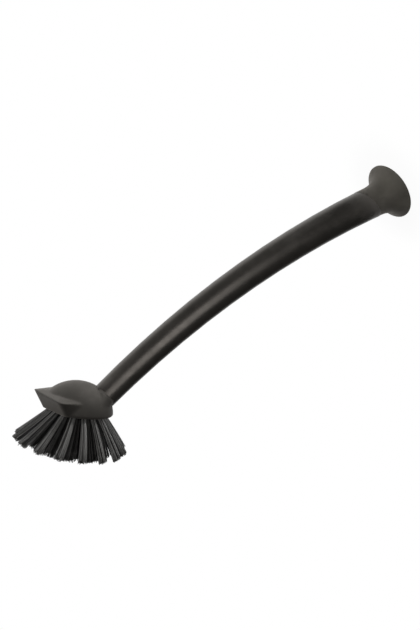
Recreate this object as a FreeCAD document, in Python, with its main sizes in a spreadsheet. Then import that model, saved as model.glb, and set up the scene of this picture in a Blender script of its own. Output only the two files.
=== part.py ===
import FreeCAD, Part
import math
import os

import Sketcher
from FreeCAD import Placement, Rotation, Vector

# Dish brush, standing on its suction cup: the origin is the centre of the cup's sealing rim,
# +Z is up, and the brush is the same on both sides of the XZ plane. The bristles face -X.
doc = FreeCAD.newDocument("dish_brush")
sheet = doc.addObject("Spreadsheet::Sheet", "Sizes")

# Lengths in millimetres, angles in degrees
SIZES = {
    # Suction cup: a trumpet bell with a plug that goes up into the handle
    "rim_diameter": 37.6,
    "lip_thickness": 0.4,
    "lip_land": 1.2,
    "cavity_depth": 6.0,
    "cup_height": 18.9,
    "cup_shift": 1.0,
    "flare_power": 3.6,
    "seam_slant": 22.0,
    "plug_length": 16.0,
    # Handle: a tapered round bar on an arc, leaning at its butt and bored there for the plug
    "butt_diameter": 20.6,
    "butt_lean": 7.0,
    "neck_diameter": 15.1,
    "bow_radius": 623.0,
    "bow_angle": 19.2,
    "bore_diameter": 14.0,
    "bore_depth": 24.0,
    "spigot_diameter": 7.0,
    "spigot_length": 2.5,
    "fit_clearance": 0.3,
    # Head: an egg-shaped dome on a flat base, with a beaked scraper visor in front
    "head_rake": 55.3,
    "dome_length": 42.4,
    "dome_width": 37.4,
    "dome_height": 17.6,
    "seat_inset": 8.0,
    "seat_height": 9.2,
    "collar_depth": 2.0,
    "collar_reach": 4.1,
    "collar_flare": 4.95,
    "collar_wall": 0.4,
    "collar_set_in": 0.35,
    "nose_inset": 1.5,
    "corner_inset": 15.0,
    "visor_height": 7.6,
    "visor_tilt": 3.4,
    "visor_rise": 1.7,
    "visor_overhang": 4.5,
    "visor_flare": 6.4,
    "shoulder_inset": 10.9,
    "flank_inset": 18.1,
    "flank_flare": 3.2,
    "tail_inset": 24.5,
    "crown_inset": 4.6,
    "crown_sink": 0.8,
    "nose_rounding": 4.5,
    "shoulder_rounding": 3.0,
    "base_rounding": 1.2,
    # Bristle tufts: held by wire anchors in holes that fan out from one point above the base
    "field_back": 0.9,
    "fan_height": 16.9,
    "hole_diameter": 2.9,
    "hole_depth": 4.0,
    "tuft_clearance": 0.1,
    "tuft_length": 25.5,
    "trim_gain": -0.6,
    "tuft_tip_diameter": 6.4,
    "anchor_height": 0.8,
    "anchor_width": 2.2,
    "anchor_thickness": 0.4,
    "front_margin": 6.9,
    "side_margin": 4.4,
    "middle_ring_share": 0.643,
    "inner_ring_share": 0.287,
}
for row, (alias, value) in enumerate(SIZES.items(), start=1):
    sheet.set(f"A{row}", alias)
    sheet.set(f"B{row}", str(value))
    sheet.setAlias(f"B{row}", alias)
doc.recompute()

# Tufts in each ring, from the rim of the head inwards, and each ring's share of the outer radius
OUTER_TUFT_COUNT = 16
MIDDLE_TUFT_COUNT = 10
INNER_TUFT_COUNT = 5
TUFT_COUNTS = {"outer": OUTER_TUFT_COUNT, "middle": MIDDLE_TUFT_COUNT, "inner": INNER_TUFT_COUNT}
RING_SHARES = {"outer": "1", "middle": "Sizes.middle_ring_share", "inner": "Sizes.inner_ring_share"}
# Tufts and their holes have flat sides, to keep what repeats light
TUFT_SIDES = 8
CUP_SECTIONS = 6
HANDLE_SECTIONS = 12
# How far a cutting sketch stands outside the solid that it cuts
OVERRUN = 3.0


def size(alias):
    return float(sheet.get(alias))


def origin_feature(body, role):
    return next(f for f in body.Origin.OriginFeatures if f.Role == role)


def new_body(label):
    body = doc.addObject("PartDesign::Body", label)
    body.Label = label
    return body


def new_sketch(body, name, role="XY_Plane", frame=None):
    """An empty sketch on a plane of the body, or on the XY plane of a coordinate system in it."""
    sketch = body.newObject("Sketcher::SketchObject", name)
    sketch.AttachmentSupport = [(frame or origin_feature(body, role), "")]
    sketch.MapMode = "ObjectXY" if frame else "FlatFace"
    return sketch


def lift(sketch, along="0", up="0", turn="0"):
    """Move a sketch in its body's XZ plane and turn it about Y, by expressions."""
    sketch.AttachmentOffset = Placement(Vector(), Rotation(Vector(0, 1, 0), 1))
    sketch.setExpression("AttachmentOffset.Base.x", along)
    sketch.setExpression("AttachmentOffset.Base.z", up)
    sketch.setExpression("AttachmentOffset.Rotation.Angle", turn)


def circle_sketch(body, name, diameter, along="0", up="0", turn="0"):
    """A sketch with one circle, placed and sized by expressions."""
    sketch = new_sketch(body, name)
    lift(sketch, along, up, turn)
    circle = sketch.addGeometry(Part.Circle(Vector(), Vector(0, 0, 1), 1), False)
    sketch.addConstraint(Sketcher.Constraint("Coincident", circle, 3, -1, 1))
    index = sketch.addConstraint(Sketcher.Constraint("Diameter", circle, 2))
    sketch.setExpression(f"Constraints[{index}]", diameter)
    return sketch


def bundle_sketch(body, name, diameter, along="0", up="0", turn="0", frame=None):
    """A sketch with one regular polygon, placed and sized across its corners by expressions."""
    sketch = new_sketch(body, name, frame=frame)
    lift(sketch, along, up, turn)
    radius = float(sketch.evalExpression(diameter)) / 2
    turns = [2 * math.pi * side / TUFT_SIDES for side in range(TUFT_SIDES)]
    points = [Vector(radius * math.cos(turn), radius * math.sin(turn)) for turn in turns]
    lines = [
        sketch.addGeometry(Part.LineSegment(start, end), False)
        for start, end in zip(points, points[1:] + points[:1])
    ]
    circle = sketch.addGeometry(Part.Circle(Vector(), Vector(0, 0, 1), radius), True)
    constraints = [Sketcher.Constraint("Coincident", circle, 3, -1, 1)]
    for line, following in zip(lines, lines[1:] + lines[:1]):
        constraints.append(Sketcher.Constraint("Coincident", line, 2, following, 1))
        constraints.append(Sketcher.Constraint("PointOnObject", line, 2, circle))
    constraints += [Sketcher.Constraint("Equal", lines[0], line) for line in lines[1:]]
    constraints.append(Sketcher.Constraint("PointOnObject", lines[0], 1, -1))
    constraints.append(Sketcher.Constraint("Diameter", circle, 2 * radius))
    sketch.addConstraint(constraints)
    sketch.setExpression(f"Constraints[{len(constraints) - 1}]", diameter)
    return sketch


def polygon_sketch(body, name, corners, role="XY_Plane", up="0", turn="0", roundings=None):
    """A closed outline of straight lines; each corner is a pair of expressions.

    roundings gives the radius of the corners that are rounded, by their place in the list.
    """
    sketch = new_sketch(body, name, role)
    lift(sketch, up=up, turn=turn)
    points = [Vector(*(float(sketch.evalExpression(e)) for e in corner)) for corner in corners]
    lines = [
        sketch.addGeometry(Part.LineSegment(start, end), False)
        for start, end in zip(points, points[1:] + points[:1])
    ]
    for line, following in zip(lines, lines[1:] + lines[:1]):
        sketch.addConstraint(Sketcher.Constraint("Coincident", line, 2, following, 1))
    for line, corner, point in zip(lines, corners, points):
        for kind, expression, value in zip(("DistanceX", "DistanceY"), corner, point):
            index = sketch.addConstraint(Sketcher.Constraint(kind, -1, 1, line, 1, value))
            sketch.setExpression(f"Constraints[{index}]", expression)
    for place, radius in (roundings or {}).items():
        value = float(sketch.evalExpression(radius))
        sketch.fillet(lines[place], 1, value, True, True)
        arc = sketch.GeometryCount - 2
        index = sketch.addConstraint(Sketcher.Constraint("Radius", arc, value))
        sketch.setExpression(f"Constraints[{index}]", radius)
    return sketch


def cap_sketch(body, name, radius, height):
    """Half the section of a spherical cap that stands on the base plane, in the XZ plane."""
    sketch = new_sketch(body, name, "XZ_Plane")
    wide = float(sketch.evalExpression(radius))
    tall = float(sketch.evalExpression(height))
    foot, rim, top = Vector(), Vector(wide, 0), Vector(0, tall)
    sphere = (wide**2 + tall**2) / (2 * tall)
    slope = math.asin((sphere - tall) / sphere)
    ball = Part.Circle(Vector(0, tall - sphere), Vector(0, 0, 1), sphere)
    base = sketch.addGeometry(Part.LineSegment(foot, rim), False)
    arc = sketch.addGeometry(Part.ArcOfCircle(ball, slope, math.pi / 2), False)
    axis = sketch.addGeometry(Part.LineSegment(top, foot), False)
    for first, end, second, start in ((base, 2, arc, 1), (arc, 2, axis, 1), (axis, 2, base, 1)):
        sketch.addConstraint(Sketcher.Constraint("Coincident", first, end, second, start))
    sketch.addConstraint(Sketcher.Constraint("Coincident", base, 1, -1, 1))
    sketch.addConstraint(Sketcher.Constraint("Horizontal", base))
    sketch.addConstraint(Sketcher.Constraint("Vertical", axis))
    sketch.addConstraint(Sketcher.Constraint("PointOnObject", arc, 3, -2))
    for line, value, expression in ((base, wide, radius), (axis, tall, height)):
        index = sketch.addConstraint(Sketcher.Constraint("Distance", line, value))
        sketch.setExpression(f"Constraints[{index}]", expression)
    return sketch


def add_loft(body, sketches, ruled=False):
    loft = body.newObject("PartDesign::AdditiveLoft", f"{body.Label}_loft")
    loft.Profile = sketches[0]
    loft.Sections = sketches[1:]
    loft.Ruled = ruled
    return loft


def add_length(body, kind, sketch, length, reverse=False):
    """A Pad or a Pocket; a Pad runs along the sketch's normal and a Pocket against it."""
    feature = body.newObject(f"PartDesign::{kind}", f"{sketch.Name}_{kind.lower()}")
    feature.Profile = sketch
    feature.setExpression("Length", length)
    feature.Reversed = reverse
    return feature


def add_turned(body, kind, sketch, axis="V_Axis"):
    """A Revolution or a Groove about an axis of its sketch."""
    feature = body.newObject(f"PartDesign::{kind}", f"{sketch.Name}_{kind.lower()}")
    feature.Profile = sketch
    feature.ReferenceAxis = (sketch, [axis])
    feature.Angle = 360
    return feature


def make_suction_cup():
    body = new_body("suction_cup")
    lip = circle_sketch(body, "lip", "Sizes.rim_diameter")
    add_length(body, "Pad", lip, "Sizes.lip_thickness")
    # The bell narrows from the lip to the handle's own diameter, leaning over to its axis
    sections = []
    for step in range(CUP_SECTIONS):
        share = step / (CUP_SECTIONS - 1)
        flare = f"{1 - share} ^ Sizes.flare_power"
        sections.append(
            circle_sketch(
                body,
                f"bell_{step}",
                f"Sizes.butt_diameter + (Sizes.rim_diameter - Sizes.butt_diameter) * {flare}",
                along=f"Sizes.cup_shift * {share**2}",
                up=f"Sizes.lip_thickness + (Sizes.cup_height - Sizes.lip_thickness) * {share}",
                turn=f"Sizes.butt_lean * {share}",
            )
        )
    add_loft(body, sections)
    seat = {"along": "Sizes.cup_shift", "up": "Sizes.cup_height"}
    slant_rise = "Sizes.butt_diameter * tan(Sizes.seam_slant)"
    neck = circle_sketch(body, "cup_neck", "Sizes.butt_diameter", **seat, turn="Sizes.butt_lean")
    add_length(body, "Pad", neck, slant_rise)
    seam = circle_sketch(
        body, "cup_seam", "2 * Sizes.butt_diameter", **seat, turn="Sizes.butt_lean - Sizes.seam_slant"
    )
    add_length(body, "Pocket", seam, f"2 * {slant_rise}", reverse=True)
    plug = circle_sketch(
        body,
        "cup_plug",
        "Sizes.bore_diameter - 2 * Sizes.fit_clearance",
        along="Sizes.cup_shift - Sizes.plug_length / 2 * sin(Sizes.butt_lean)",
        up="Sizes.cup_height - Sizes.plug_length / 2 * cos(Sizes.butt_lean)",
        turn="Sizes.butt_lean",
    )
    add_length(body, "Pad", plug, "Sizes.plug_length * 1.5")
    hollow = cap_sketch(body, "cup_hollow", "Sizes.rim_diameter / 2 - Sizes.lip_land", "Sizes.cavity_depth")
    add_turned(body, "Groove", hollow)
    return body


def butt_placement():
    """The middle of the seam between cup and handle, with Z along the handle."""
    base = Vector(size("cup_shift"), 0, size("cup_height"))
    return Placement(base, Rotation(Vector(0, 1, 0), size("butt_lean")))


def bow_sketch(body, name, diameter, share):
    """A circle across the handle's arc, at a share of its angle from the seam to the head."""
    angle = f"(Sizes.bow_angle * {share})"
    return circle_sketch(
        body,
        name,
        diameter,
        along=f"Sizes.bow_radius * (cos({angle}) - 1)",
        up=f"Sizes.bow_radius * sin({angle})",
        turn=f"-{angle}",
    )


def make_handle():
    body = new_body("handle")
    body.Placement = butt_placement()
    sections = []
    for step in range(-1, HANDLE_SECTIONS):
        share = step / (HANDLE_SECTIONS - 1)
        taper = f"Sizes.butt_diameter + (Sizes.neck_diameter - Sizes.butt_diameter) * {share}"
        sections.append(bow_sketch(body, f"bow_{step + 1}", taper, share))
    add_loft(body, sections, ruled=True)
    below = "Sizes.bow_radius * sin(Sizes.bow_angle)"
    seam = circle_sketch(body, "handle_seam", "8 * Sizes.butt_diameter", turn="-Sizes.seam_slant")
    add_length(body, "Pocket", seam, below)
    bore = circle_sketch(body, "handle_bore", "Sizes.bore_diameter", up="-Sizes.butt_diameter / 2")
    add_length(body, "Pocket", bore, "Sizes.bore_depth + Sizes.butt_diameter / 2", reverse=True)
    spigot = bow_sketch(body, "spigot", "Sizes.spigot_diameter", 1)
    add_length(body, "Pad", spigot, "Sizes.spigot_length")
    return body


def head_placement():
    """Head axes: X to the beak, Z up from the bristles, origin in the middle of the base."""
    angle = math.radians(size("bow_angle"))
    radius = size("bow_radius")
    neck_end = butt_placement().multVec(
        Vector(radius * (math.cos(angle) - 1), 0, radius * math.sin(angle))
    )
    pitch = 90 - size("butt_lean") + size("bow_angle") - size("head_rake")
    turn = Rotation(Vector(0, 1, 0), -pitch) * Rotation(Vector(1, 0, 0), 180)
    seat = Vector(size("seat_inset") - size("dome_length") / 2, 0, size("seat_height"))
    return Placement(neck_end - turn.multVec(seat), turn)


# The dome's middle lies below the base where the dome is under half its width
DOME_AXIS = "(Sizes.dome_height - Sizes.dome_width / 2)"
DOME_FRONT = "(Sizes.dome_length / 2)"


def dome_half_width(along, up):
    """Half the dome's width at a place on its length and a height above the base."""
    length_share = f"pow(2 * {along} / Sizes.dome_length; 2)"
    height_share = f"pow(2 * ({up} - {DOME_AXIS}) / Sizes.dome_width; 2)"
    return f"Sizes.dome_width / 2 * sqrt(1 - {length_share} - {height_share})"


def visor_level(along, up):
    """The height of a plane with the visor's tilt, at a place on the head's length."""
    return f"({up} + {along} * tan(Sizes.visor_tilt))"


def add_dome(body):
    """An egg-shaped solid, round across the head."""
    dome = body.newObject("PartDesign::AdditiveEllipsoid", "dome")
    dome.setExpression("Placement.Base.z", DOME_AXIS)
    dome.setExpression("Radius1", "Sizes.dome_width / 2")
    dome.setExpression("Radius2", "Sizes.dome_length / 2")
    dome.setExpression("Radius3", "Sizes.dome_width / 2")
    return dome


def seat_place(reach):
    """A place on the handle's axis in the head, at a reach along it from the handle's seat."""
    return {
        "along": f"Sizes.seat_inset - {DOME_FRONT} - {reach} * cos(Sizes.head_rake)",
        "up": f"Sizes.seat_height + {reach} * sin(Sizes.head_rake)",
        "turn": "-(90 - Sizes.head_rake)",
    }


def seat_ellipse(body, name, width, reach):
    """An ellipse round the handle's axis in the head, thinner than the handle and of a given width."""
    sketch = new_sketch(body, name)
    lift(sketch, **seat_place(reach))
    thickness = "Sizes.neck_diameter - 2 * Sizes.collar_set_in"
    half_width = float(sketch.evalExpression(width)) / 2
    half_thickness = float(sketch.evalExpression(thickness)) / 2
    ellipse = Part.Ellipse(Vector(0, half_width), Vector(half_thickness, 0), Vector())
    curve = sketch.addGeometry(ellipse, False)
    sketch.exposeInternalGeometry(curve)
    long_axis, short_axis = curve + 1, curve + 2
    sketch.addConstraint(Sketcher.Constraint("Coincident", curve, 3, -1, 1))
    sketch.addConstraint(Sketcher.Constraint("Vertical", long_axis))
    for constraint, expression in (
        (Sketcher.Constraint("Distance", long_axis, 2 * half_width), width),
        (Sketcher.Constraint("Distance", short_axis, 2 * half_thickness), thickness),
    ):
        index = sketch.addConstraint(constraint)
        sketch.setExpression(f"Constraints[{index}]", expression)
    return sketch


def box_sketch(body, name, back):
    """A rectangle on the base plane, from a place on the head's length to beyond its front and sides."""
    reach = "2 * Sizes.dome_length"
    corners = [(back, f"-{reach}"), (reach, f"-{reach}"), (reach, reach), (back, reach)]
    return polygon_sketch(body, name, corners)


def ring_radius(ring):
    """The outer ring keeps its margins to the dome's front and sides, and the others share its radius."""
    front = f"{DOME_FRONT} - Sizes.front_margin"
    side = "Sizes.dome_width / 2 - Sizes.side_margin"
    return f"(min({front}; {side}) * {RING_SHARES[ring]})"


def ring_frame(body, ring):
    """Axes in the middle of the tuft field, with X to the first tuft; the beak falls between two tufts."""
    frame = body.newObject("PartDesign::CoordinateSystem", f"{ring}_frame")
    frame.AttachmentSupport = [(origin_feature(body, "XY_Plane"), "")]
    frame.MapMode = "ObjectXY"
    frame.AttachmentOffset = Placement(Vector(), Rotation(Vector(0, 0, 1), tuft_turn(ring, 0)))
    frame.setExpression("AttachmentOffset.Base.x", "-Sizes.field_back")
    return frame


def tuft_turn(ring, index):
    """A tuft's angle round the field, from the beak."""
    return 360 * (index + 0.5) / TUFT_COUNTS[ring]


def tuft_lean(ring):
    return f"atan({ring_radius(ring)} / Sizes.fan_height)"


def make_brush_head():
    body = new_body("brush_head")
    body.Placement = head_placement()
    # The collar is widest where it leaves the dome and laps the handle's two sides
    foot_width = "Sizes.neck_diameter + 2 * Sizes.collar_flare"
    rim_width = "Sizes.neck_diameter + 2 * Sizes.collar_wall"
    collar = [
        seat_ellipse(body, "collar_foot", foot_width, "-Sizes.collar_depth"),
        seat_ellipse(body, "collar_rim", rim_width, "Sizes.collar_reach"),
    ]
    add_loft(body, collar, ruled=True)
    add_dome(body)
    below = box_sketch(body, "dome_below", "-Sizes.dome_length")
    flat = add_length(body, "Pocket", below, "Sizes.dome_width")
    doc.recompute()
    base_edges = [
        f"Edge{place}"
        for place, edge in enumerate(flat.Shape.Edges, start=1)
        if edge.BoundBox.ZMax < size("base_rounding") / 2
    ]
    rounding = body.newObject("PartDesign::Fillet", "base_edge")
    rounding.Base = (flat, base_edges)
    rounding.setExpression("Radius", "Sizes.base_rounding")

    # Socket for the handle's end, and a deeper one for its spigot
    for name, diameter, reach in (
        ("socket", "Sizes.neck_diameter", "0"),
        ("spigot_socket", "Sizes.spigot_diameter", "-Sizes.spigot_length"),
    ):
        socket = circle_sketch(body, name, f"{diameter} + Sizes.fit_clearance", **seat_place(reach))
        add_length(body, "Pocket", socket, "Sizes.dome_length", reverse=True)

    # The front of the dome's foot gives way to the visor, whose walls flare up to a brim that tilts up
    # to the beak, and whose top rises from the brim to a crown inside the dome
    corner = f"({DOME_FRONT} - Sizes.corner_inset)"
    shoulder = f"({DOME_FRONT} - Sizes.shoulder_inset)"
    flank = f"({DOME_FRONT} - Sizes.flank_inset)"
    tail = f"({DOME_FRONT} - Sizes.tail_inset)"
    front = box_sketch(body, "dome_front", corner)
    add_length(body, "Pocket", front, "Sizes.visor_height", reverse=True)
    brim_height = "Sizes.visor_height"
    crown_height = "Sizes.visor_height + Sizes.visor_rise"
    foot_half = [
        (corner, dome_half_width(corner, "0")),
        (flank, dome_half_width(corner, "0")),
        (tail, f"{dome_half_width(tail, '0')} - Sizes.crown_sink"),
    ]
    brim_half = [
        (shoulder, "Sizes.dome_width / 2 + Sizes.visor_flare"),
        (flank, f"{dome_half_width(flank, brim_height)} + Sizes.flank_flare"),
        (tail, f"{dome_half_width(tail, brim_height)} - Sizes.crown_sink"),
    ]
    crown_half = [
        (along, f"{dome_half_width(along, visor_level(along, crown_height))} - Sizes.crown_sink")
        for along in (shoulder, flank, tail)
    ]
    roundings = {0: "Sizes.nose_rounding", 1: "Sizes.shoulder_rounding", 6: "Sizes.shoulder_rounding"}
    outlines = []
    for name, tip, half, up, turn in (
        ("visor_foot", "-Sizes.nose_inset", foot_half, "0", "0"),
        ("visor_brim", "+ Sizes.visor_overhang", brim_half, brim_height, "-Sizes.visor_tilt"),
        ("visor_crown", "-Sizes.crown_inset", crown_half, crown_height, "-Sizes.visor_tilt"),
    ):
        other = [(along, f"-({across})") for along, across in reversed(half)]
        corners = [(f"{DOME_FRONT} {tip}", "0")] + half + other
        outlines.append(polygon_sketch(body, name, corners, up=up, turn=turn, roundings=roundings))
    add_loft(body, outlines, ruled=True)

    # Tuft holes, one ring at a time, round the middle of the tuft field
    field = circle_sketch(body, "tuft_field", f"2 * {ring_radius('outer')}", along="-Sizes.field_back")
    for ring, count in TUFT_COUNTS.items():
        lean = tuft_lean(ring)
        hole = bundle_sketch(
            body,
            f"{ring}_hole",
            "Sizes.hole_diameter",
            along=f"{ring_radius(ring)} + {OVERRUN} * sin({lean})",
            up=f"-{OVERRUN} * cos({lean})",
            turn=f"-{lean}",
            frame=ring_frame(body, ring),
        )
        drilled = add_length(body, "Pocket", hole, f"Sizes.hole_depth + {OVERRUN}", reverse=True)
        pattern = body.newObject("PartDesign::PolarPattern", f"{ring}_holes")
        pattern.Originals = [drilled]
        pattern.Axis = (field, ["N_Axis"])
        pattern.Angle = 360
        pattern.Occurrences = count
        body.Tip = pattern
    return body


def tuft_placement(ring, index):
    """Where a tuft leaves the base, with Z along the tuft, away from the head."""
    around = Rotation(Vector(0, 0, 1), tuft_turn(ring, index))
    radius = float(sheet.evalExpression(ring_radius(ring)))
    lean = math.degrees(math.atan(radius / size("fan_height")))
    foot = Vector(-size("field_back"), 0, 0) + around.multVec(Vector(radius, 0, 0))
    return head_placement() * Placement(foot, around * Rotation(Vector(0, 1, 0), 180 - lean))


def make_tuft(ring, index):
    """A bundle that is straight in its hole and spreads to a flat trim, longest at the beak."""
    body = new_body(f"tuft_{ring}_{index + 1:02d}")
    body.Placement = tuft_placement(ring, index)
    shank = "Sizes.hole_diameter - 2 * Sizes.tuft_clearance"
    mouth = f"Sizes.hole_diameter * tan({tuft_lean('outer')})"
    forward = math.cos(math.radians(tuft_turn(ring, index)))
    trim = f"Sizes.tuft_length + Sizes.trim_gain * {forward} * {RING_SHARES[ring]}"
    sections = [
        bundle_sketch(body, f"{body.Label}_{name}", diameter, up=up)
        for name, diameter, up in (
            ("foot", shank, "Sizes.anchor_height - Sizes.hole_depth"),
            ("mouth", shank, mouth),
            ("trim", "Sizes.tuft_tip_diameter", trim),
        )
    ]
    add_loft(body, sections, ruled=True)
    return body


def make_tuft_anchors():
    """Flat wire anchors, one across the bottom of each tuft hole."""
    anchors = []
    for ring, count in TUFT_COUNTS.items():
        for index in range(count):
            anchor = doc.addObject("Part::Box", f"anchor_{ring}_{index + 1:02d}")
            anchor.setExpression("Length", "Sizes.anchor_width")
            anchor.setExpression("Width", "Sizes.anchor_thickness")
            anchor.setExpression("Height", "Sizes.anchor_height")
            corner = Vector(-size("anchor_width") / 2, -size("anchor_thickness") / 2, -size("hole_depth"))
            anchor.Placement = tuft_placement(ring, index) * Placement(corner, Rotation())
            anchors.append(anchor)
    group = doc.addObject("Part::Compound", "tuft_anchors")
    group.Label = "tuft_anchors"
    group.Links = anchors
    return group


def check_document():
    """Stop if a feature failed, or if a cut took nothing away."""
    for item in doc.Objects:
        if {"Invalid", "Error"} & set(item.State):
            raise RuntimeError(f"{item.Name} failed: {item.State}")
        if item.TypeId in ("PartDesign::Pocket", "PartDesign::Groove"):
            if item.Shape.Volume >= item.BaseFeature.Shape.Volume - 1e-6:
                raise RuntimeError(f"{item.Name} cuts nothing")


nodes = [make_suction_cup(), make_handle(), make_brush_head(), make_tuft_anchors()]
nodes += [make_tuft(ring, index) for ring, count in TUFT_COUNTS.items() for index in range(count)]
doc.recompute()
check_document()
for node in nodes:
    if node.Shape.isNull() or not node.Shape.isValid():
        raise RuntimeError(f"{node.Label} has no valid shape")
os.makedirs("parts", exist_ok=True)
for node in nodes:
    node.Shape.exportStep(f"parts/{node.Label}.step")
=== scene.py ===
import math
import random

import bpy
import numpy as np
from mathutils import Matrix, Vector


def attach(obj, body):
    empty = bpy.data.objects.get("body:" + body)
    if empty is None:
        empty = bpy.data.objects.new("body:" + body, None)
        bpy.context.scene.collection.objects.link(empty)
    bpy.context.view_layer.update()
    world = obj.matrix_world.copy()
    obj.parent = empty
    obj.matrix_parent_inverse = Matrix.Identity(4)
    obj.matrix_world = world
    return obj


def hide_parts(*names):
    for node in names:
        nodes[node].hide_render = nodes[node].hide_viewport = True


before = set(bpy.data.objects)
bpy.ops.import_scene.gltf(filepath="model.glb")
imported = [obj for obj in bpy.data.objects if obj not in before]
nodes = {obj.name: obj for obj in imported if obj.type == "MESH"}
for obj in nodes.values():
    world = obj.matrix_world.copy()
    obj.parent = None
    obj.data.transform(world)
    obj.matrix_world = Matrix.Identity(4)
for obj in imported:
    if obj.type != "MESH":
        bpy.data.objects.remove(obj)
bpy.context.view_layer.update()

MM = 0.001
FULL_TURN = 2 * math.pi
GOLDEN_TURN = math.pi * (3 - math.sqrt(5))

# Bristles: nylon filaments that leave each hole in a tight bundle and spread to a ragged trim
FILAMENTS = 60
FILAMENT_RADIUS = 0.2 * MM
FILAMENT_SIDES = 6
FILAMENT_STEPS = 6
SPREAD_POWER = 1.05
RING_SPREAD = {"outer": 0.8, "middle": 1.25, "inner": 1.15}
# Painted shade: the middle and inner rings get darker nylon and less gloss, standing in for the shadow
# between the tufts
RING_PAINTED_SHADE = {"outer": 1.0, "middle": 0.3, "inner": 0.15}
TUFT_BEND = 0.5 * MM
FILAMENT_BEND = 0.2 * MM
TIP_SCATTER = 0.25 * MM
TRIM_SCATTER = 0.3 * MM
TRIM_CUT = 0.12 * MM
STRAY_SHARE = 0.1
STRAY_REACH = 1.4 * MM

# All the tufts sweep a little towards the beak of the head
BEAK_WAY = Vector((0.683, 0.0, 0.730))
BEAK_SWEEP = 1.4 * MM

# Thickness of the slice that finds the end of a tuft solid
END_SLICE = 0.05 * MM

# Plastic and rubber: a cloudy colour between two tones, uneven gloss and a raised grain
PLASTICS = {
    "handle_plastic": {
        "dark": (0.029, 0.0272, 0.0240),
        "light": (0.038, 0.0356, 0.0315),
        "shine": 0.95,
        "sheen": 0.0,
        "rough": 0.36,
        "grain": 0.4 * MM,
        "depth": 0.012 * MM,
        "edge": 0.3 * MM,
    },
    "head_plastic": {
        "dark": (0.022, 0.0210, 0.0186),
        "light": (0.032, 0.0305, 0.0270),
        "shine": 0.5,
        "sheen": 0.16,
        "rough": 0.66,
        "grain": 0.45 * MM,
        "depth": 0.05 * MM,
        "edge": 2.0 * MM,
    },
    "cup_rubber": {
        "dark": (0.060, 0.0562, 0.0472),
        "light": (0.105, 0.0982, 0.0825),
        "shine": 0.45,
        "sheen": 0.24,
        "rough": 0.65,
        "grain": 0.5 * MM,
        "depth": 0.03 * MM,
        "edge": 0.4 * MM,
    },
}
PLASTIC_PIECES = {"handle": "handle_plastic", "brush_head": "head_plastic", "suction_cup": "cup_rubber"}
CLOUD_SIZE = 14 * MM
GLOSS_PATCH = 5 * MM
GLOSS_CHANGE = 0.05
GRAIN_STRENGTH = 0.6
EDGE_SAMPLES = 6

# Reflections on the dark plastic are a little warm
WARM_SHINE = (1.0, 0.92, 0.84, 1.0)

# Nylon: the darkest and the lightest filament
NYLON_COLOURS = ((0.005, 0.0048, 0.0045), (0.24, 0.235, 0.226))
NYLON_SHINE = (0.1, 0.9)
NYLON_ROUGH = (0.28, 0.42)
NYLON_PATCH = 1.5 * MM

# Wire of the anchors, which are hidden in the tuft holes
WIRE_COLOURS = ((0.42, 0.42, 0.41), (0.6, 0.6, 0.58))
WIRE_ROUGH = (0.3, 0.45)
WIRE_STREAK = 0.3 * MM
WIRE_STRETCH = (1, 1, 6)

# Most of a noise lies between these values
NOISE_LOW = 0.3
NOISE_HIGH = 0.7

# Camera of the photograph: its place in millimetres, its focal length and the picture's height in pixels
CAMERA_PLACE = (62.447, -316.098, 208.612)
CAMERA_RIGHT = (-0.509157, -0.266779, -0.818283)
CAMERA_UP = (0.837594, 0.065109, -0.542400)
FOCAL_PIXELS = 540
PICTURE_HEIGHT = 630
SENSOR_WIDTH = 36.0
CLIP_START = 10 * MM

# Studio, in metres and watts: a white backdrop behind the brush, a dim room and three softboxes
ROOM_GREY = 0.02
BACKDROP_TOWARDS = (0.2, 0.97, -0.1)
BACKDROP_FROM = 0.2
BACKDROP_TO = 0.75
BACKDROP_WHITE = 0.8
LAMP_AIM = (0.0, 0.0, 0.16)
LAMPS = {
    "key_lamp": {"place": (0.47, 0.0, 0.66), "width": 0.26, "height": 0.26, "power": 2.1},
    "front_lamp": {"place": (0.02, -0.61, 0.17), "width": 0.54, "height": 0.34, "power": 1.4},
    "top_lamp": {"place": (0.34, 0.02, -0.62), "width": 0.3, "height": 0.3, "power": 6.5},
}

# Table: white to the eye, most of all at its edge, and pale grey to the light
FLOOR_RADIUS = 46 * MM
FLOOR_CLEAR = 20 * MM
FLOOR_DROP = 0.1 * MM
FLOOR_SIDES = 96
FLOOR_WHITE = 0.95
FLOOR_GREY = (0.85, 0.85, 0.85, 1)


def new_material(name):
    """A node material with its Principled shader."""
    material = bpy.data.materials.new(name)
    material.use_nodes = True
    tree = material.node_tree
    return material, tree, tree.nodes["Principled BSDF"]


def noise(tree, grain, detail, stretch=(1, 1, 1)):
    """Noise in the object's own space, with grains of about the given size in metres."""
    place = tree.nodes.new("ShaderNodeTexCoord")
    mapping = tree.nodes.new("ShaderNodeMapping")
    mapping.inputs["Scale"].default_value = stretch
    texture = tree.nodes.new("ShaderNodeTexNoise")
    texture.inputs["Scale"].default_value = 1 / grain
    texture.inputs["Detail"].default_value = detail
    tree.links.new(place.outputs["Object"], mapping.inputs["Vector"])
    tree.links.new(mapping.outputs["Vector"], texture.inputs["Vector"])
    return texture.outputs["Fac"]


def remap(tree, value, low, high, least, most, interpolation):
    """Carry a range of values over to another one."""
    ramp = tree.nodes.new("ShaderNodeMapRange")
    ramp.interpolation_type = interpolation
    ramp.inputs["From Min"].default_value = low
    ramp.inputs["From Max"].default_value = high
    ramp.inputs["To Min"].default_value = least
    ramp.inputs["To Max"].default_value = most
    tree.links.new(value, ramp.inputs["Value"])
    return ramp.outputs["Result"]


def spread(tree, factor, least, most):
    """Map the middle of a noise to a range of values."""
    return remap(tree, factor, NOISE_LOW, NOISE_HIGH, least, most, "LINEAR")


def ease(tree, value, low, high, least, most):
    """A smooth step from one value to another."""
    return remap(tree, value, low, high, least, most, "SMOOTHSTEP")


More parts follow.
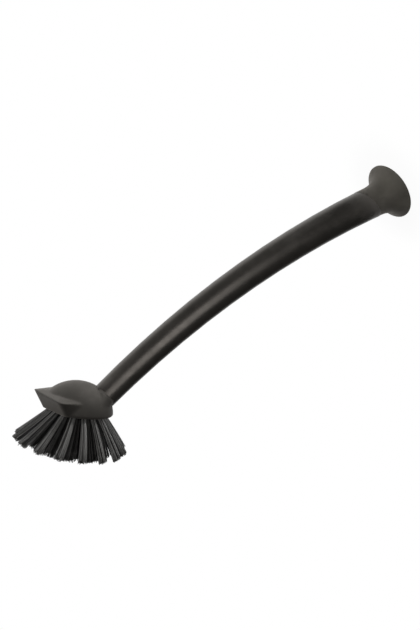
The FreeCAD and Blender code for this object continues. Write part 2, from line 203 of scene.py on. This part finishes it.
def tint(tree, factor, dark, light):
    """Blend two colours by a factor."""
    mix = tree.nodes.new("ShaderNodeMix")
    mix.data_type = "RGBA"
    mix.inputs["A"].default_value = (*dark, 1)
    mix.inputs["B"].default_value = (*light, 1)
    tree.links.new(factor, mix.inputs["Factor"])
    return mix.outputs["Result"]


def combine(tree, operation, first, second):
    """A value worked out from two others."""
    result = tree.nodes.new("ShaderNodeMath")
    result.operation = operation
    tree.links.new(first, result.inputs[0])
    tree.links.new(second, result.inputs[1])
    return result.outputs["Value"]


def round_edges(tree, radius):
    """Normals that look as if sharp edges had a small radius."""
    bevel = tree.nodes.new("ShaderNodeBevel")
    bevel.samples = EDGE_SAMPLES
    bevel.inputs["Radius"].default_value = radius
    return bevel.outputs["Normal"]


def raise_grain(tree, height, depth, normal):
    """A bump of the given depth in metres, on top of other normals."""
    bump = tree.nodes.new("ShaderNodeBump")
    bump.inputs["Strength"].default_value = GRAIN_STRENGTH
    bump.inputs["Distance"].default_value = depth
    tree.links.new(height, bump.inputs["Height"])
    tree.links.new(normal, bump.inputs["Normal"])
    return bump.outputs["Normal"]


def make_plastic(name, dark, light, shine, sheen, rough, grain, depth, edge):
    """Moulded plastic or rubber: cloudy colour, uneven gloss and a fine raised grain."""
    material, tree, shader = new_material(name)
    shader.inputs["Specular IOR Level"].default_value = shine
    shader.inputs["Specular Tint"].default_value = WARM_SHINE
    shader.inputs["Sheen Weight"].default_value = sheen
    shader.inputs["Sheen Tint"].default_value = WARM_SHINE
    cloud = spread(tree, noise(tree, CLOUD_SIZE, detail=3), 0, 1)
    tree.links.new(tint(tree, cloud, dark, light), shader.inputs["Base Color"])
    patches = noise(tree, GLOSS_PATCH, detail=4)
    gloss = spread(tree, patches, rough - GLOSS_CHANGE, rough + GLOSS_CHANGE)
    tree.links.new(gloss, shader.inputs["Roughness"])
    relief = raise_grain(tree, noise(tree, grain, detail=3), depth, round_edges(tree, edge))
    tree.links.new(relief, shader.inputs["Normal"])
    return material


def make_bristle_nylon():
    """Black nylon, each filament a little lighter or darker than the next, with painted shade on the
    middle and inner rings: darker colour and weaker gloss.
    """
    material, tree, shader = new_material("bristle_nylon")
    attribute = tree.nodes.new("ShaderNodeAttribute")
    attribute.attribute_name = "shade"
    shade = attribute.outputs["Fac"]
    tree.links.new(tint(tree, shade, *NYLON_COLOURS), shader.inputs["Base Color"])
    tree.links.new(ease(tree, shade, 0, 1, *NYLON_SHINE), shader.inputs["Specular IOR Level"])
    gloss = spread(tree, noise(tree, NYLON_PATCH, detail=2), *NYLON_ROUGH)
    tree.links.new(gloss, shader.inputs["Roughness"])
    return material


def make_anchor_steel():
    """Drawn wire, brushed along its width."""
    material, tree, shader = new_material("anchor_steel")
    shader.inputs["Metallic"].default_value = 1
    streak = noise(tree, WIRE_STREAK, detail=3, stretch=WIRE_STRETCH)
    tree.links.new(tint(tree, streak, *WIRE_COLOURS), shader.inputs["Base Color"])
    tree.links.new(spread(tree, streak, *WIRE_ROUGH), shader.inputs["Roughness"])
    return material


def paint(piece, material):
    """Give a piece one material."""
    piece.data.materials.clear()
    piece.data.materials.append(material)


def add_to_scene(name, data):
    """A new object in the scene for a mesh, a light or a camera."""
    thing = bpy.data.objects.new(name, data)
    bpy.context.scene.collection.objects.link(thing)
    return thing


def tuft_ends(node):
    """Centre and radius of a tuft solid's foot and of its trimmed end, the narrow foot first."""
    points = np.unique(np.round([vertex.co for vertex in node.data.vertices], 6), axis=0)
    offsets = points - points.mean(axis=0)
    along = offsets @ np.linalg.svd(offsets, full_matrices=False)[2][0]
    ends = []
    for side in (along, -along):
        ring = points[side > side.max() - END_SLICE]
        centre = ring.mean(axis=0)
        radius = float(np.linalg.norm(ring - centre, axis=1).max())
        ends.append((radius, Vector(centre)))
    return sorted(ends, key=lambda end: end[0])


def sideways(sides, radius, turn):
    """A step square to the tuft, in the plane of its two side directions."""
    across, over = sides
    return radius * (math.cos(turn) * across + math.sin(turn) * over)


def scatter(sides, reach, chance):
    """A random step square to the tuft, no longer than the given reach."""
    return sideways(sides, reach * chance.random(), chance.uniform(0, FULL_TURN))


def filament_path(foot, rise, sweep, root, end, bend):
    """Middle line of a filament, from its place in the hole to its place in the trim."""
    path = []
    for step in range(FILAMENT_STEPS):
        share = step / (FILAMENT_STEPS - 1)
        middle = foot + rise * share + sweep * share**2
        path.append(middle + root.lerp(end, share**SPREAD_POWER) + bend * math.sin(math.pi * share))
    return path


def add_filament(verts, faces, path, sides, axis, chance):
    """A closed tube along a path, with its end cut a little askew."""
    first = len(verts)
    last = first + (len(path) - 1) * FILAMENT_SIDES
    tilt = chance.uniform(0, FULL_TURN)
    for centre in path:
        for side in range(FILAMENT_SIDES):
            verts.append(centre + sideways(sides, FILAMENT_RADIUS, FULL_TURN * side / FILAMENT_SIDES))
    for side in range(FILAMENT_SIDES):
        verts[last + side] += TRIM_CUT * math.cos(FULL_TURN * side / FILAMENT_SIDES - tilt) * axis
    for low in range(first, last, FILAMENT_SIDES):
        high = low + FILAMENT_SIDES
        for side in range(FILAMENT_SIDES):
            following = (side + 1) % FILAMENT_SIDES
            faces.append((low + side, low + following, high + following, high + side))
    faces.append(tuple(range(last, last + FILAMENT_SIDES)))
    faces.append(tuple(reversed(range(first, first + FILAMENT_SIDES))))


def make_bristles(name, node, chance):
    """The filaments of one tuft, in place of its plain solid."""
    (foot_radius, foot), (tip_radius, tip) = tuft_ends(node)
    ring = name.split("_")[1]
    root_reach = foot_radius - FILAMENT_RADIUS
    tip_reach = tip_radius * RING_SPREAD[ring] - FILAMENT_RADIUS
    length = (tip - foot).length
    axis = (tip - foot).normalized()
    across = axis.orthogonal().normalized()
    sides = (across, axis.cross(across))
    lean = scatter(sides, TUFT_BEND, chance)
    sweep = BEAK_SWEEP * (BEAK_WAY - axis * axis.dot(BEAK_WAY))
    verts, faces, shades = [], [], []
    for number in range(FILAMENTS):
        out = math.sqrt((number + 0.5) / FILAMENTS)
        root = sideways(sides, root_reach * out, number * GOLDEN_TURN)
        end = sideways(sides, tip_reach * out, number * GOLDEN_TURN)
        end += scatter(sides, TIP_SCATTER, chance) + lean
        bend = scatter(sides, FILAMENT_BEND, chance)
        reach = length + chance.gauss(0, TRIM_SCATTER)
        if chance.random() < STRAY_SHARE:
            reach -= STRAY_REACH * chance.random()
        path = filament_path(foot, axis * reach, sweep, root, end, bend)
        add_filament(verts, faces, path, sides, axis, chance)
        # Painted shade: the ring's factor darkens the middle and inner rings' filaments and weakens
        # their gloss
        shades += [RING_PAINTED_SHADE[ring] * chance.random()] * (FILAMENT_STEPS * FILAMENT_SIDES)
    mesh = bpy.data.meshes.new(name)
    mesh.from_pydata(verts, [], faces)
    mesh.shade_smooth()
    mesh.attributes.new("shade", "FLOAT", "POINT").data.foreach_set("value", shades)
    return add_to_scene(name, mesh)


def make_world():
    """White to the camera; to the object a dim room with a white backdrop behind the brush."""
    world = bpy.data.worlds.new("studio")
    bpy.context.scene.world = world
    world.use_nodes = True
    tree = world.node_tree
    background = tree.nodes["Background"]
    background.inputs["Color"].default_value = (1, 1, 1, 1)
    place = tree.nodes.new("ShaderNodeTexCoord")
    slope = tree.nodes.new("ShaderNodeVectorMath")
    slope.operation = "DOT_PRODUCT"
    slope.inputs[1].default_value = BACKDROP_TOWARDS
    tree.links.new(place.outputs["Generated"], slope.inputs[0])
    behind = slope.outputs["Value"]
    backdrop = ease(tree, behind, BACKDROP_FROM, BACKDROP_TO, ROOM_GREY, BACKDROP_WHITE)
    mirrored = ease(tree, behind, BACKDROP_FROM, BACKDROP_TO, 0, 1)
    path = tree.nodes.new("ShaderNodeLightPath")
    seen = combine(tree, "MAXIMUM", path.outputs["Is Camera Ray"], path.outputs["Is Transmission Ray"])
    mirrored = combine(tree, "MULTIPLY", path.outputs["Is Glossy Ray"], mirrored)
    white = combine(tree, "MAXIMUM", seen, mirrored)
    tree.links.new(combine(tree, "MAXIMUM", backdrop, white), background.inputs["Strength"])


def make_white_table():
    """White with only a trace of shadow to the eye, matt grey to the light."""
    material = bpy.data.materials.new("white_table")
    material.use_nodes = True
    tree = material.node_tree
    tree.nodes.clear()
    place = tree.nodes.new("ShaderNodeTexCoord")
    distance = tree.nodes.new("ShaderNodeVectorMath")
    distance.operation = "LENGTH"
    tree.links.new(place.outputs["Object"], distance.inputs[0])
    fade = ease(tree, distance.outputs["Value"], FLOOR_CLEAR, FLOOR_RADIUS, FLOOR_WHITE, 1)
    path = tree.nodes.new("ShaderNodeLightPath")
    seen = combine(tree, "MAXIMUM", path.outputs["Is Camera Ray"], path.outputs["Is Transmission Ray"])
    seen = combine(tree, "MAXIMUM", seen, path.outputs["Is Glossy Ray"])
    matt = tree.nodes.new("ShaderNodeBsdfDiffuse")
    matt.inputs["Color"].default_value = FLOOR_GREY
    white = tree.nodes.new("ShaderNodeEmission")
    mix = tree.nodes.new("ShaderNodeMixShader")
    output = tree.nodes.new("ShaderNodeOutputMaterial")
    tree.links.new(combine(tree, "MULTIPLY", seen, fade), mix.inputs["Fac"])
    tree.links.new(matt.outputs["BSDF"], mix.inputs[1])
    tree.links.new(white.outputs["Emission"], mix.inputs[2])
    tree.links.new(mix.outputs["Shader"], output.inputs["Surface"])
    return material


def make_floor():
    """A round white table that fades into the background and keeps the brush's shadow near the cup."""
    rim = []
    for side in range(FLOOR_SIDES):
        turn = FULL_TURN * side / FLOOR_SIDES
        rim.append((FLOOR_RADIUS * math.cos(turn), FLOOR_RADIUS * math.sin(turn), -FLOOR_DROP))
    mesh = bpy.data.meshes.new("floor")
    mesh.from_pydata(rim, [], [tuple(range(FLOOR_SIDES))])
    floor = add_to_scene("floor", mesh)
    paint(floor, make_white_table())
    return floor


def make_lamp(name, place, width, height, power):
    """A softbox aimed at the brush; the camera doesn't see it."""
    light = bpy.data.lights.new(name, "AREA")
    light.shape = "RECTANGLE"
    light.size = width
    light.size_y = height
    light.energy = power
    lamp = add_to_scene(name, light)
    lamp.location = place
    lamp.rotation_euler = (Vector(LAMP_AIM) - Vector(place)).to_track_quat("-Z", "Y").to_euler()
    lamp.visible_camera = False


def make_camera():
    """The photograph's camera, from its place and its right and up directions."""
    data = bpy.data.cameras.new("camera")
    data.sensor_width = SENSOR_WIDTH
    data.lens = SENSOR_WIDTH * FOCAL_PIXELS / PICTURE_HEIGHT
    data.clip_start = CLIP_START
    camera = add_to_scene("camera", data)
    right = Vector(CAMERA_RIGHT)
    up = Vector(CAMERA_UP)
    turn = Matrix((right, up, right.cross(up))).transposed().to_4x4()
    camera.matrix_world = Matrix.Translation(MM * Vector(CAMERA_PLACE)) @ turn
    bpy.context.scene.camera = camera


# Rigid pieces keep their CAD shape
for name, plastic in PLASTIC_PIECES.items():
    paint(nodes[name], make_plastic(plastic, **PLASTICS[plastic]))
paint(nodes["tuft_anchors"], make_anchor_steel())

# Each tuft is shown as its filaments
bristle_nylon = make_bristle_nylon()
tuft_names = sorted(name for name in nodes if name.startswith("tuft_"))
tuft_names.remove("tuft_anchors")
for number, name in enumerate(tuft_names):
    bristles = make_bristles(name.replace("tuft", "bristles"), nodes[name], random.Random(number))
    paint(bristles, bristle_nylon)
    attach(bristles, "root")
    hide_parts(name)

make_world()
for name, settings in LAMPS.items():
    make_lamp(name, **settings)
make_camera()
make_floor()
bpy.context.scene.view_settings.view_transform = "Standard"
